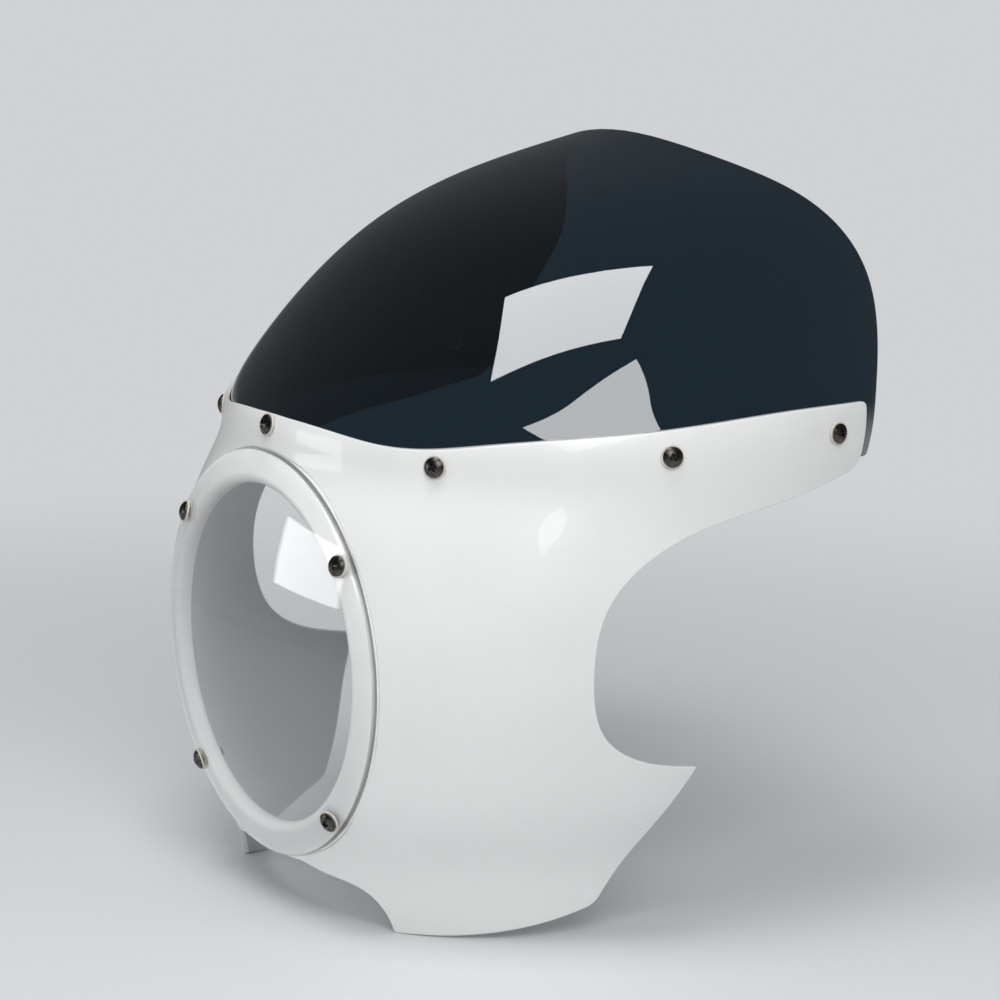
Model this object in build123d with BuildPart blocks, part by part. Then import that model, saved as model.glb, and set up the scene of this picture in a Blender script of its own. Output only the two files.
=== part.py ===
import os
from math import cos, hypot, radians, sin, sqrt

from build123d import *

# Headlight cowl for a motorbike: a moulded nose shell round a seven-inch headlight,
# a smoked bubble windscreen screwed inside its rim and a clear domed lens cover.
# The lens axis is Y, the front faces -Y, up is +Z and the origin is the centre of the lens rim.

# Headlight opening, and the seat of the lens cover round it
opening_radius = 89.0
opening_lip_length = 4.5
opening_lip_round = 2.0
seat_width = 19.0
seat_step = 0.4
seat_flange_width = 3.4

# Lens cover
lens_dome_radius = 275.0
lens_wall = 3.0
lens_seat_gap = 0.3
lens_edge_gap = 0.6

# Walls of the moulded shell and the windscreen
shell_wall = 3.0
screen_wall = 3.0
screen_gap = 0.3

# Fasteners: pan-head screws with a plastic washer outside, and a washer and nut inside
screw_radius = 2.5
screw_hole_clearance = 0.25
screw_end_length = 1.5
head_radius = 5.2
head_height = 3.0
head_edge_height = 0.9
recess_width = 1.3
recess_length = 5.6
recess_depth = 1.4
washer_radius = 6.1
backing_washer_radius = 5.0
washer_thickness = 1.0
washer_seat_gap = 0.2
backing_seat_gap = 0.5
nut_width = 8.0
nut_height = 4.0
nut_thread_gap = 0.05

# Lens screws: distance in from the edge of the lens, and angles above and below the horizontal
lens_screw_edge = 6.6
lens_screw_upper_angle = 37.5
lens_screw_lower_angle = 47.0

# Windscreen screws: height over the top of the lens, and angle from the front about an upright line
# this far behind the lens
screw_line_depth = 195.0
front_screw_height = 13.0
shoulder_screw_height = 4.6
shoulder_screw_angle = 34.5
flank_screw_height = 11.0
flank_screw_angle = 70.5
arm_screw_height = 14.0
arm_screw_angle = 101.0

# Horizontal sections of the outer skin, nearly circles centred on the plane of symmetry.
# Sections of the nose run through the edge of the lens seat: angle round the lens, depth of the centre.
nose_sections = [
    (-65.1, 144.3),
    (-40.4, 143.5),
    (-18.9, 147),
    (2.7, 156.8),
    (24.6, 166.2),
    (49.4, 176.3),
    (74.4, 189),
]
# Sections under the lens: height over the bottom of the lens, depth of the centre, half width.
skirt_sections = [(-38, 148.5, 143), (-12, 146.2, 143.8)]
# Sections over the lens: height over the top of the lens, depth of the centre, half width.
rim_sections = [(13, 195.6, 188.3), (37, 203.5, 183)]
dome_sections = [(57, 209.6, 175.4), (87, 223.4, 158.6), (112, 237.6, 137.6)]
crown_sections = [(132, 254.2, 110.4), (147, 272, 80), (164, 295.4, 41.5)]
section_stretch = 1.0
rim_stretch = 1.021
section_point_count = 16

# Side outline of the shell, as depth behind the lens rim and height.
# The rim and its arms stand over the top of the lens.
rim_line = [(-12, 23), (6, 18.7), (20, 13.3), (50, 15.4), (120, 22.8), (200, 28.3), (256, 27.2)]
arm_foot = (252.5, -7)
arm_top_round = 4.0
arm_foot_round = 9.0
# The cut-out goes round the lens axis.
cutout_line = [(193, 90), (133, 76), (95, 44.5), (88.2, 9.5), (97, -21.5), (121, -37.5), (154, -45)]
# The wings and legs hang from the bottom of the lens.
wing_foot = (113.5, -12)
wing_foot_round = 4.0
bottom_middle = (74, -23.8)
leg_foot = (29, -29)

# Front outline of the arch between the legs, as distance from the centre line and height over the
# bottom of the lens
arch_line = [(80, -31), (76.5, -19), (68, -8.6), (48, -2.8), (30, 1.5)]
# The edge of the arch is folded back to this depth behind the skin
arch_lip_depth = 14.0
arch_lip_wall = 2.6

# Side outline of the windscreen, as depth and height over the top of the lens: the free edge from the
# crown down, and the edge inside the rim
crown_line = [(226.5, 164), (227.8, 155), (233.7, 148.3), (254.8, 133.4), (272.8, 114.7)]
back_line = [(283.2, 87), (279.8, 59.7), (268.8, 31.4), (259, -3.5)]
screen_foot_round = 6.0
hidden_edge_line = [(200, -1.5), (110, -4), (45, -5.5), (24, -2), (9, 7), (-12, 10)]

# Space past every outline, so that each cut runs clear of the skin
cut_margin = 60.0

lens_radius = opening_radius + seat_width
lens_screw_circle = lens_radius - lens_screw_edge
dome_centre = sqrt(lens_dome_radius**2 - lens_radius**2)
seat_inset = lens_wall + lens_seat_gap
recess_radius = lens_radius + lens_edge_gap
flange_radius = recess_radius + seat_flange_width
neck_radius = opening_radius + shell_wall
hole_radius = screw_radius + screw_hole_clearance
screen_inset = shell_wall + screen_gap
screen_stack = screen_inset + screen_wall
lens_stack = seat_inset + shell_wall
half_reach = max(half_width for height, centre, half_width in rim_sections) + cut_margin


def dome_depth(radius, inset):
    """Depth of a point on the face of the lens, or on a dome set in behind that face."""
    return dome_centre - sqrt((lens_dome_radius - inset) ** 2 - radius**2)


seat_edge_depth = dome_depth(lens_radius, seat_inset) - seat_step


def over_top(depth, height):
    """Point of a side outline whose height is given from the top of the lens."""
    return (depth, height + lens_radius)


def over_bottom(depth, height):
    """Point of an outline whose height is given from the bottom of the lens."""
    return (depth, height - lens_radius)


def skin_sections():
    """Sections from the legs to the crown: height, depth of the front, half width, half depth."""
    sections = []
    for height, centre, half_width in skirt_sections:
        sections.append((height - lens_radius, centre, half_width, section_stretch))
    for angle, centre in nose_sections:
        half_width = hypot(centre - seat_edge_depth, lens_radius * cos(radians(angle)))
        sections.append((lens_radius * sin(radians(angle)), centre, half_width, section_stretch))
    for height, centre, half_width in rim_sections:
        sections.append((height + lens_radius, centre, half_width, rim_stretch))
    for height, centre, half_width in dome_sections + crown_sections:
        sections.append((height + lens_radius, centre, half_width, section_stretch))
    return [
        (height, centre - half_width * stretch, half_width, half_width * stretch)
        for height, centre, half_width, stretch in sections
    ]


def section_slope(sections, index, column):
    """Slope of one column of the sections against height, by the parabola through three sections."""
    middle = min(max(index, 1), len(sections) - 2)
    below, here, above = sections[middle - 1 : middle + 2]
    slope_below = (here[column] - below[column]) / (here[0] - below[0])
    slope_above = (above[column] - here[column]) / (above[0] - here[0])
    bend = (slope_above - slope_below) / (above[0] - below[0])
    return slope_below + bend * (2 * sections[index][0] - below[0] - here[0])


def skin_solid(inset):
    """Solid inside the outer skin, or inside a skin that lies the inset behind it."""
    sections = skin_sections()
    turns = [radians(360 * step / section_point_count) for step in range(section_point_count)]
    with BuildPart() as solid:
        for index, (height, front, half_width, half_depth) in enumerate(sections):
            width = half_width - inset * hypot(1, section_slope(sections, index, 2))
            depth = half_depth * width / half_width
            centre = front + inset * hypot(1, section_slope(sections, index, 1)) + depth
            points = [(width * sin(turn), centre + depth * cos(turn)) for turn in turns]
            with BuildSketch(Plane.XY.offset(height)):
                with BuildLine():
                    Spline(*points, periodic=True)
                make_face()
        loft()
    return solid.part


def arch_face(margin):
    """Front outline of the arch, moved up and outward by the margin."""
    line = [over_bottom(distance + margin, height + margin) for distance, height in arch_line]
    with BuildSketch(Plane.XZ) as face:
        with BuildLine():
            Line((0, line[-1][1]), line[-1])
            Spline(*reversed(line))
            Polyline(line[0], (line[0][0], line[0][1] - cut_margin), (0, line[0][1] - cut_margin))
            mirror(about=Plane.YZ)
        make_face()
    return face.sketch


def skin_plane(height, angle):
    """Plane on the outer skin at a height over the lens and an angle from the front, facing outward."""
    direction = Vector(sin(radians(angle)), -cos(radians(angle)), 0)
    line = Axis((0, *over_top(screw_line_depth, height)), direction)
    point, normal = max(skin.find_intersection_points(line), key=lambda hit: hit[0].dot(direction))
    return Plane(point, z_dir=normal)


def back_plane(plane):
    """Plane where a screw from the outer skin comes out of the back of the windscreen."""
    hits = screen_core.find_intersection_points(Axis(plane.origin, -plane.z_dir))
    point, normal = min(hits, key=lambda hit: (hit[0] - plane.origin).length)
    return Plane(point, z_dir=plane.z_dir)


def lens_plane(angle):
    """Plane on the face of the lens at an angle round its axis, with its normal outward."""
    point = Vector(
        lens_screw_circle * cos(radians(angle)),
        dome_depth(lens_screw_circle, 0),
        lens_screw_circle * sin(radians(angle)),
    )
    return Plane(point, z_dir=point - Vector(0, dome_centre, 0))


skin = skin_solid(0)
shell_core = skin_solid(shell_wall)
arch_lip_core = skin_solid(arch_lip_depth)
screen_skin = skin_solid(screen_inset)
screen_core = skin_solid(screen_stack)

screen_planes = [skin_plane(front_screw_height, 0)]
for side in (1, -1):
    screen_planes.append(skin_plane(shoulder_screw_height, side * shoulder_screw_angle))
    screen_planes.append(skin_plane(flank_screw_height, side * flank_screw_angle))
    screen_planes.append(skin_plane(arm_screw_height, side * arm_screw_angle))
screen_back_planes = [back_plane(plane) for plane in screen_planes]

lens_planes = [
    lens_plane(angle)
    for angle in (
        lens_screw_upper_angle,
        180 - lens_screw_upper_angle,
        180 + lens_screw_lower_angle,
        -lens_screw_lower_angle,
    )
]
lens_back_planes = [plane.offset(-lens_stack) for plane in lens_planes]

# Side outline of the shell, run through from side to side
with BuildPart() as side_slab:
    with BuildSketch(Plane.YZ) as shell_side:
        with BuildLine():
            rim = [over_top(*point) for point in rim_line]
            arm_end = over_top(*arm_foot)
            wing_end = over_bottom(*wing_foot)
            leg_end = over_bottom(*leg_foot)
            Spline(*rim)
            Line(rim[-1], arm_end)
            Spline(arm_end, *cutout_line)
            Line(cutout_line[-1], wing_end)
            ThreePointArc(wing_end, over_bottom(*bottom_middle), leg_end)
            Polyline(
                leg_end,
                (rim[0][0] - cut_margin, leg_end[1]),
                (rim[0][0] - cut_margin, rim[0][1]),
                rim[0],
            )
        make_face()
        fillet(shell_side.vertices().sort_by_distance(rim[-1])[0], arm_top_round)
        fillet(shell_side.vertices().sort_by_distance(arm_end)[0], arm_foot_round)
        fillet(shell_side.vertices().sort_by_distance(wing_end)[0], wing_foot_round)
    extrude(amount=half_reach, both=True)

# Arch between the legs, run through from front to back
with BuildPart() as arch:
    extrude(arch_face(0), amount=cut_margin, both=True)

# Ledge round the arch
with BuildPart() as arch_ledge:
    extrude(arch_face(arch_lip_wall), amount=cut_margin, both=True)
    add(arch_lip_core, mode=Mode.SUBTRACT)

# Space in front of the lens seat, and the headlight opening with its rounded lip
with BuildPart() as lens_recess:
    with BuildSketch(Plane.XY) as recess_profile:
        with BuildLine():
            lip_front = (opening_radius, dome_depth(opening_radius, seat_inset))
            seat_edge = (recess_radius, dome_depth(recess_radius, seat_inset))
            RadiusArc(lip_front, seat_edge, -(lens_dome_radius - seat_inset))
            Polyline(
                seat_edge,
                (recess_radius, -cut_margin),
                (0, -cut_margin),
                (0, cut_margin),
                (opening_radius, cut_margin),
                lip_front,
            )
        make_face()
        fillet(recess_profile.vertices().sort_by_distance(lip_front)[0], opening_lip_round)
    revolve(axis=Axis.Y)

# Hollow of the shell, which leaves the wall, the domed back of the lens seat with its lip, and a ledge
# that the arch turns into a folded edge
with BuildPart() as hollow:
    add(shell_core)
    with BuildSketch(Plane.XY):
        with BuildLine():
            flange_back = (flange_radius, dome_depth(flange_radius, lens_stack))
            neck = (neck_radius, dome_depth(neck_radius, lens_stack))
            Polyline((0, -cut_margin), (flange_radius, -cut_margin), flange_back)
            RadiusArc(flange_back, neck, lens_dome_radius - lens_stack)
            Polyline(neck, (neck_radius, opening_lip_length), (0, opening_lip_length), (0, -cut_margin))
        make_face()
    revolve(axis=Axis.Y, mode=Mode.SUBTRACT)
    add(arch_ledge.part, mode=Mode.SUBTRACT)

# Moulded shell
with BuildPart() as cowl_shell:
    add(skin)
    add(hollow.part, mode=Mode.SUBTRACT)
    add(side_slab.part, mode=Mode.INTERSECT)
    add(lens_recess.part, mode=Mode.SUBTRACT)
    add(arch.part, mode=Mode.SUBTRACT)
    with Locations(*screen_planes):
        Cylinder(hole_radius, 2 * screen_stack, mode=Mode.SUBTRACT)
    with Locations(*lens_planes):
        Cylinder(hole_radius, 4 * lens_stack, mode=Mode.SUBTRACT)
cowl_shell.part.label = "cowl_shell"

# Bubble windscreen
with BuildPart() as windscreen:
    add(screen_skin)
    add(screen_core, mode=Mode.SUBTRACT)
    with BuildSketch(Plane.YZ) as screen_side:
        with BuildLine():
            free_edge = [over_top(*point) for point in crown_line + back_line]
            hidden_edge = [over_top(*point) for point in hidden_edge_line]
            Spline(*free_edge)
            Spline(free_edge[-1], *hidden_edge)
            Polyline(
                hidden_edge[-1],
                (hidden_edge[-1][0], free_edge[0][1] + cut_margin),
                (free_edge[0][0], free_edge[0][1] + cut_margin),
                free_edge[0],
            )
        make_face()
        fillet(screen_side.vertices().sort_by_distance(free_edge[-1])[0], screen_foot_round)
    extrude(amount=half_reach, both=True, mode=Mode.INTERSECT)
    with Locations(*screen_planes):
        Cylinder(hole_radius, 4 * screen_stack, mode=Mode.SUBTRACT)
windscreen.part.label = "windscreen"

# Domed lens cover
with BuildPart() as lens_cover:
    with BuildSketch(Plane.XY):
        with BuildLine():
            lens_back = (lens_radius, dome_depth(lens_radius, lens_wall))
            RadiusArc((0, dome_depth(0, 0)), (lens_radius, 0), -lens_dome_radius)
            Line((lens_radius, 0), lens_back)
            RadiusArc(lens_back, (0, dome_depth(0, lens_wall)), lens_dome_radius - lens_wall)
            Line((0, dome_depth(0, lens_wall)), (0, dome_depth(0, 0)))
        make_face()
    revolve(axis=Axis.Y)
    with Locations(*lens_planes):
        Cylinder(hole_radius, 4 * lens_wall, mode=Mode.SUBTRACT)
lens_cover.part.label = "lens_cover"


def screw(stack):
    """Pan-head screw through a stack whose outer face lies at height zero."""
    seat = washer_seat_gap + washer_thickness
    tip = -(stack + backing_seat_gap + washer_thickness + nut_height + screw_end_length)
    with BuildPart() as piece:
        with BuildSketch(Plane.XZ):
            with BuildLine():
                Polyline(
                    (0, seat + head_height),
                    (0, tip),
                    (screw_radius, tip),
                    (screw_radius, seat),
                    (head_radius, seat),
                    (head_radius, seat + head_edge_height),
                )
                TangentArc((0, seat + head_height), (head_radius, seat + head_edge_height), tangent=(1, 0))
            make_face()
        revolve(axis=Axis.Z)
        with BuildSketch(Plane.XY.offset(seat + head_height)):
            Rectangle(recess_length, recess_width)
            Rectangle(recess_width, recess_length)
        extrude(amount=-recess_depth, mode=Mode.SUBTRACT)
    return piece.part


def washer(radius, bottom):
    """Flat washer whose lower face lies at the given height on the screw."""
    with BuildPart() as piece:
        with BuildSketch(Plane.XY.offset(bottom)):
            Circle(radius)
            Circle(hole_radius, mode=Mode.SUBTRACT)
        extrude(amount=washer_thickness)
    return piece.part


def nut(top):
    """Hexagon nut whose upper face lies at the given height on the screw."""
    with BuildPart() as piece:
        with BuildSketch(Plane.XY.offset(top)):
            RegularPolygon(nut_width / 2, 6, major_radius=False)
            Circle(screw_radius + nut_thread_gap, mode=Mode.SUBTRACT)
        extrude(amount=-nut_height)
    return piece.part


os.makedirs("parts", exist_ok=True)
for piece in (cowl_shell, windscreen, lens_cover):
    export_step(piece.part, f"parts/{piece.part.label}.step")

# Fasteners of the windscreen and of the lens cover, one node for each kind
backing = -(backing_seat_gap + washer_thickness)
for name, planes, back_planes, stack in (
    ("windscreen", screen_planes, screen_back_planes, screen_stack),
    ("lens", lens_planes, lens_back_planes, lens_stack),
):
    for kind, fastener, places in (
        ("screws", screw(stack), planes),
        ("washers", washer(washer_radius, washer_seat_gap), planes),
        ("backing_washers", washer(backing_washer_radius, backing), back_planes),
        ("nuts", nut(backing), back_planes),
    ):
        with BuildPart() as fasteners:
            with Locations(*places):
                add(fastener)
        fasteners.part.label = f"{name}_{kind}"
        export_step(fasteners.part, f"parts/{fasteners.part.label}.step")
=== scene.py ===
import math

import bmesh
import bpy
import numpy as np
from mathutils import Matrix, Vector
from mathutils.geometry import delaunay_2d_cdt


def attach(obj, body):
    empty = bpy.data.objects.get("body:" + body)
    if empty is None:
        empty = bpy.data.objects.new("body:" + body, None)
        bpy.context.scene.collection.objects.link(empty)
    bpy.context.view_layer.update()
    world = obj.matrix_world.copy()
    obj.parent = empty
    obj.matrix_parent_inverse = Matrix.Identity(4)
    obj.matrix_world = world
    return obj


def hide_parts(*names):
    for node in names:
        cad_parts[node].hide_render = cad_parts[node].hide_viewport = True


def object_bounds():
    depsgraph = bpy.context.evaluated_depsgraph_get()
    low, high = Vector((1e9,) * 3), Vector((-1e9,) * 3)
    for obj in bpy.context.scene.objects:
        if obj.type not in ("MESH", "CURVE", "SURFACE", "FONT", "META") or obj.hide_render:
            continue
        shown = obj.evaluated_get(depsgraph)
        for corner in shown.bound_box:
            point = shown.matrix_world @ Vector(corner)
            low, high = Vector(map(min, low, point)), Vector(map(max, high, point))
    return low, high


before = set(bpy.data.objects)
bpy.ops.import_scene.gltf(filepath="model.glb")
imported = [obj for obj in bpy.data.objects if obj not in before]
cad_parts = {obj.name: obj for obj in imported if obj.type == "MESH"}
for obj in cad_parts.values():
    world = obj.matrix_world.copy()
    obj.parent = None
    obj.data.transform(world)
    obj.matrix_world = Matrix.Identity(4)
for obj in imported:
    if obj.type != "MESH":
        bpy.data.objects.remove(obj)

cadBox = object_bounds()
mm = 0.001
tiny = 1e-6  # shorter than any real edge
print("frame loaded:", len(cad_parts), "nodes")


# curves and sheets

def splineThrough(xs, ys):
    # natural cubic through the points; gives value and slope
    xs, ys = np.asarray(xs, float), np.asarray(ys, float)
    count, gaps = len(xs), np.diff(xs)
    system, right = np.eye(count), np.zeros(count)
    for i in range(1, count - 1):
        system[i, i - 1:i + 2] = gaps[i - 1], 2 * (gaps[i - 1] + gaps[i]), gaps[i]
        right[i] = 6 * ((ys[i + 1] - ys[i]) / gaps[i] - (ys[i] - ys[i - 1]) / gaps[i - 1])
    bends = np.linalg.solve(system, right)

    def at(query):
        query = np.asarray(query, float)
        i = np.clip(np.searchsorted(xs, query) - 1, 0, count - 2)
        gap, after, before = gaps[i], xs[i + 1] - query, query - xs[i]
        low = ys[i] / gap - bends[i] * gap / 6
        high = ys[i + 1] / gap - bends[i + 1] * gap / 6
        bent = (bends[i] * after**3 + bends[i + 1] * before**3) / (6 * gap)
        slope = (bends[i + 1] * before**2 - bends[i] * after**2) / (2 * gap) + high - low
        return bent + low * after + high * before, slope

    return at


def lengthAlong(line):
    steps = np.linalg.norm(np.diff(line, axis=0), axis=1)
    return np.concatenate([[0], np.cumsum(steps)])


def smoothLine(points, step=2.0):
    # a smooth curve through a few points, sampled about every step
    points = np.asarray(points, float)
    along = lengthAlong(points)
    samples = np.linspace(0, along[-1], int(along[-1] / step) + 2)
    return np.stack([splineThrough(along, points[:, k])(samples)[0] for k in (0, 1)], axis=1)


def straightLine(start, end, step=2.0):
    count = int(math.dist(start, end) / step) + 2
    return np.linspace(start, end, count)


def arcThrough(start, middle, end, step=2.0):
    start, middle, end = (complex(*p) for p in (start, middle, end))
    turn = (end - start) / (middle - start)
    centre = (middle - start) * (turn - abs(turn)**2) / (2j * turn.imag) + start
    first, radius = np.angle(start - centre), abs(start - centre)
    sweep = np.angle((middle - centre) / (start - centre))
    sweep += np.angle((end - centre) / (middle - centre))
    angles = first + np.linspace(0, sweep, int(abs(sweep) * radius / step) + 2)
    return np.stack([centre.real + radius * np.cos(angles),
                     centre.imag + radius * np.sin(angles)], axis=1)


def cutBack(line, length):
    # the line without its last stretch
    left = lengthAlong(line[::-1])[1:]
    keep = int(np.searchsorted(left, length))
    before = left[keep - 1] if keep else 0.0
    share = (length - before) / (left[keep] - before)
    end = line[-1 - keep] + (line[-2 - keep] - line[-1 - keep]) * share
    return np.vstack([line[:-1 - keep], end])


def joinRounded(first, second, radius, bendPoints=8):
    # two lines that share a corner, with a soft bend in its place
    corner, steps = first[-1], np.linspace(0, 1, bendPoints)[1:-1, None]
    first, second = cutBack(first, radius), cutBack(second[::-1], radius)[::-1]
    bend = (1 - steps)**2 * first[-1] + 2 * steps * (1 - steps) * corner + steps**2 * second[0]
    return np.vstack([first, bend, second])


def insideLoop(points, loop):
    inside = np.zeros(len(points), bool)
    for a, b in zip(loop, np.roll(loop, -1, axis=0)):
        if a[1] == b[1]:
            continue
        crosses = (a[1] > points[:, 1]) != (b[1] > points[:, 1])
        edgeAt = (b[0] - a[0]) * (points[:, 1] - a[1]) / (b[1] - a[1]) + a[0]
        inside ^= crosses & (points[:, 0] < edgeAt)
    return inside


sheetNet = {"rowHeight": 0.866, "edgeClear": 0.7, "merge": 1e-7}  # the first two in net spacings


def fillLoop(loop, spacing):
    # triangles inside a closed outline, on an even net; the outline's points come first
    low, high = loop.min(axis=0), loop.max(axis=0)
    net = []
    for i, height in enumerate(np.arange(low[1], high[1], spacing * sheetNet["rowHeight"])):
        row = np.arange(low[0] + (i % 2) * spacing / 2, high[0], spacing)
        net.append(np.stack([row, np.full(len(row), height)], axis=1))
    net = np.vstack(net)
    net = net[insideLoop(net, loop)]
    clearance = spacing * sheetNet["edgeClear"]
    clear = np.array([np.min(np.hypot(*(loop - p).T)) > clearance for p in net])
    points = [Vector(p) for p in np.vstack([loop, net[clear]])]
    outline = [list(range(len(loop)))]
    verts, _, faces, origins, _, _ = delaunay_2d_cdt(points, [], outline, 1, sheetNet["merge"])
    first = {source: i for i, sources in enumerate(origins) for source in sources}
    return np.array([v[:] for v in verts]), faces, [first[i] for i in range(len(loop))]


def unit(vectors):
    return vectors / np.linalg.norm(vectors, axis=-1, keepdims=True)


def linked(name, data):
    piece = bpy.data.objects.new(name, data)
    bpy.context.collection.objects.link(piece)
    return piece


def meshPiece(name, points, faces, normals=None, backs=None):
    mesh = bpy.data.meshes.new(name)
    mesh.from_pydata([tuple(p * mm) for p in points], [], [tuple(f) for f in faces])
    mesh.validate()
    mesh.polygons.foreach_set("use_smooth", [True] * len(mesh.polygons))
    if normals is not None:
        mesh.normals_split_custom_set_from_vertices([tuple(n) for n in normals])
    if backs is not None:
        mesh.attributes.new("backFace", "FLOAT", "POINT").data.foreach_set("value", backs)
    return linked(name, mesh)


def outwardNormals(piece, weld=0.0):
    # merges doubles where asked, drops faces without area and turns the rest outwards
    net = bmesh.new()
    net.from_mesh(piece.data)
    if weld:
        bmesh.ops.remove_doubles(net, verts=net.verts, dist=weld)
    bmesh.ops.dissolve_degenerate(net, dist=tiny, edges=net.edges)
    bmesh.ops.recalc_face_normals(net, faces=net.faces)
    net.to_mesh(piece.data)
    net.free()


def sharpen(piece, degrees):
    # edges that bend more than this stay crisp
    piece.data.set_sharp_from_angle(angle=math.radians(degrees))


def placed(piece, slotName, finish, *nodes):
    # the one place where a piece is tied to the frame
    piece.data.materials.clear()
    piece.data.materials.append(finish)
    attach(piece, "root")
    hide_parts(*nodes)


# the shared skin of shell and windscreen

lens = {"radius": 108.0, "dome": 275.0, "wall": 3.0,
        "seatGap": 0.3, "seatStep": 0.4, "edgeGap": 0.2}
domeCentre = math.sqrt(lens["dome"]**2 - lens["radius"]**2)
seatInset = lens["wall"] + lens["seatGap"]


def domeDepth(radius, inset):
    return domeCentre - np.sqrt((lens["dome"] - inset)**2 - np.square(radius))


skin = {
    "skirt": [(-146, 148.5, 143), (-120, 146.2, 143.8)],  # height, centre, half width
    "nose": [(-65.1, 144.3), (-40.4, 143.5), (-18.9, 147), (2.7, 156.8),
             (24.6, 166.2), (49.4, 176.3), (74.4, 189)],  # angle round the lens, centre
    "rim": [(121, 195.6, 188.3), (145, 203.5, 183)],
    "dome": [(165, 209.6, 175.4), (195, 223.4, 158.6), (220, 237.6, 137.6),
             (240, 254.2, 110.4), (255, 272, 80), (272, 295.4, 41.5)],
    "rimStretch": 1.021,  # depth over width
    "unroll": 180.0,  # flat width of one radian when a sheet is cut out
    "centreClear": 0.012,  # radians beside the centre line without a point
}
unrolled = np.array([skin["unroll"], 1.0])


def skinSections():
    seatEdge = domeDepth(lens["radius"], seatInset) - lens["seatStep"]
    sections = [(*s, 1.0) for s in skin["skirt"]]
    for angle, centre in skin["nose"]:
        height, chord = (lens["radius"] * f(math.radians(angle)) for f in (math.sin, math.cos))
        sections.append((height, centre, math.hypot(centre - seatEdge, chord), 1.0))
    sections += [(*s, skin["rimStretch"]) for s in skin["rim"]]
    sections += [(*s, 1.0) for s in skin["dome"]]
    heights, centres, widths, stretch = np.array(sections).T
    return heights, centres - widths * stretch, widths, widths * stretch


class Skin:
    # the outer skin, or one that lies an inset behind it

    def __init__(self, inset=0.0):
        heights, front, width, depth = skinSections()
        frontSlope = splineThrough(heights, front)(heights)[1]
        widthSlope = splineThrough(heights, width)(heights)[1]
        inner = width - inset * np.hypot(1, widthSlope)
        self.front = splineThrough(heights, front + inset * np.hypot(1, frontSlope))
        self.width = splineThrough(heights, inner)
        self.depth = splineThrough(heights, depth * inner / width)

    def at(self, angle, height):
        width, widthSlope = self.width(height)
        depth, depthSlope = self.depth(height)
        front, frontSlope = self.front(height)
        sine, cosine = np.sin(angle), np.cos(angle)
        points = np.stack([width * sine, front + depth - depth * cosine, height], axis=-1)
        across = np.stack([width * cosine, depth * sine, np.zeros_like(height)], axis=-1)
        upward = np.stack([widthSlope * sine, frontSlope + depthSlope * (1 - cosine),
                           np.ones_like(height)], axis=-1)
        return points, unit(np.cross(across, upward))

    def fromSide(self, line):
        # depth and height, as in a side view, to angle and height on the right half
        depth, front = self.depth(line[:, 1])[0], self.front(line[:, 1])[0]
        share = np.clip((front + depth - line[:, 0]) / depth, -1, 1)
        return np.stack([np.arccos(share), line[:, 1]], axis=1)

    def fromFront(self, line):
        # distance from the centre line and height, as in a front view
        share = np.clip(line[:, 0] / self.width(line[:, 1])[0], -1, 1)
        return np.stack([np.arcsin(share), line[:, 1]], axis=1)

    def fromCentre(self, line):
        # a side line that starts ahead of the skin, cut where it meets the centre line
        ahead = line[:, 0] - self.front(line[:, 1])[0]
        first = int(np.argmax(ahead > 0))
        share = ahead[first - 1] / (ahead[first - 1] - ahead[first])
        start = line[first - 1] + (line[first] - line[first - 1]) * share
        flat = self.fromSide(line[first:])
        return np.vstack([[0.0, start[1]], flat[flat[:, 0] > skin["centreClear"]]])


def evenLine(line, count):
    along = lengthAlong(line)
    samples = np.linspace(0, along[-1], count)
    return np.stack([np.interp(samples, along, line[:, k]) for k in (0, 1)], axis=1)


def closedLoop(halves, counts):
    # right-hand stretches, each with its number of points, and their mirror image
    halves = [evenLine(part * unrolled, count) / unrolled for part, count in zip(halves, counts)]
    right = np.vstack([halves[0]] + [part[1:] for part in halves[1:]])
    left = right[::-1][1:-1] * [-1, 1]
    return np.vstack([right, left])


softEdge = {
    "turns": (30, 60, 90),  # degrees
    "cornerPoints": 3, "cornerSharp": 0.8,  # a corner: points apart, cosine between its sides
    "taperFrom": 2.0, "taperOver": 16.0, "least": 0.03,  # away from a corner
}


def tapered(edge, edgeRound):
    # how far each point of an outline is rounded: next to nothing in a thin corner
    step = softEdge["cornerPoints"]
    ahead = unit(np.roll(edge, -step, axis=0) - edge)
    behind = unit(np.roll(edge, step, axis=0) - edge)
    corners = edge[np.sum(ahead * behind, axis=1) > softEdge["cornerSharp"]]
    if not len(corners):
        return np.full((len(edge), 1), edgeRound)
    reach = np.min(np.linalg.norm(edge[:, None] - corners[None], axis=2), axis=1)
    share = (reach - softEdge["taperFrom"]) / softEdge["taperOver"]
    return edgeRound * np.clip(share, softEdge["least"], 1)[:, None]


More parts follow.
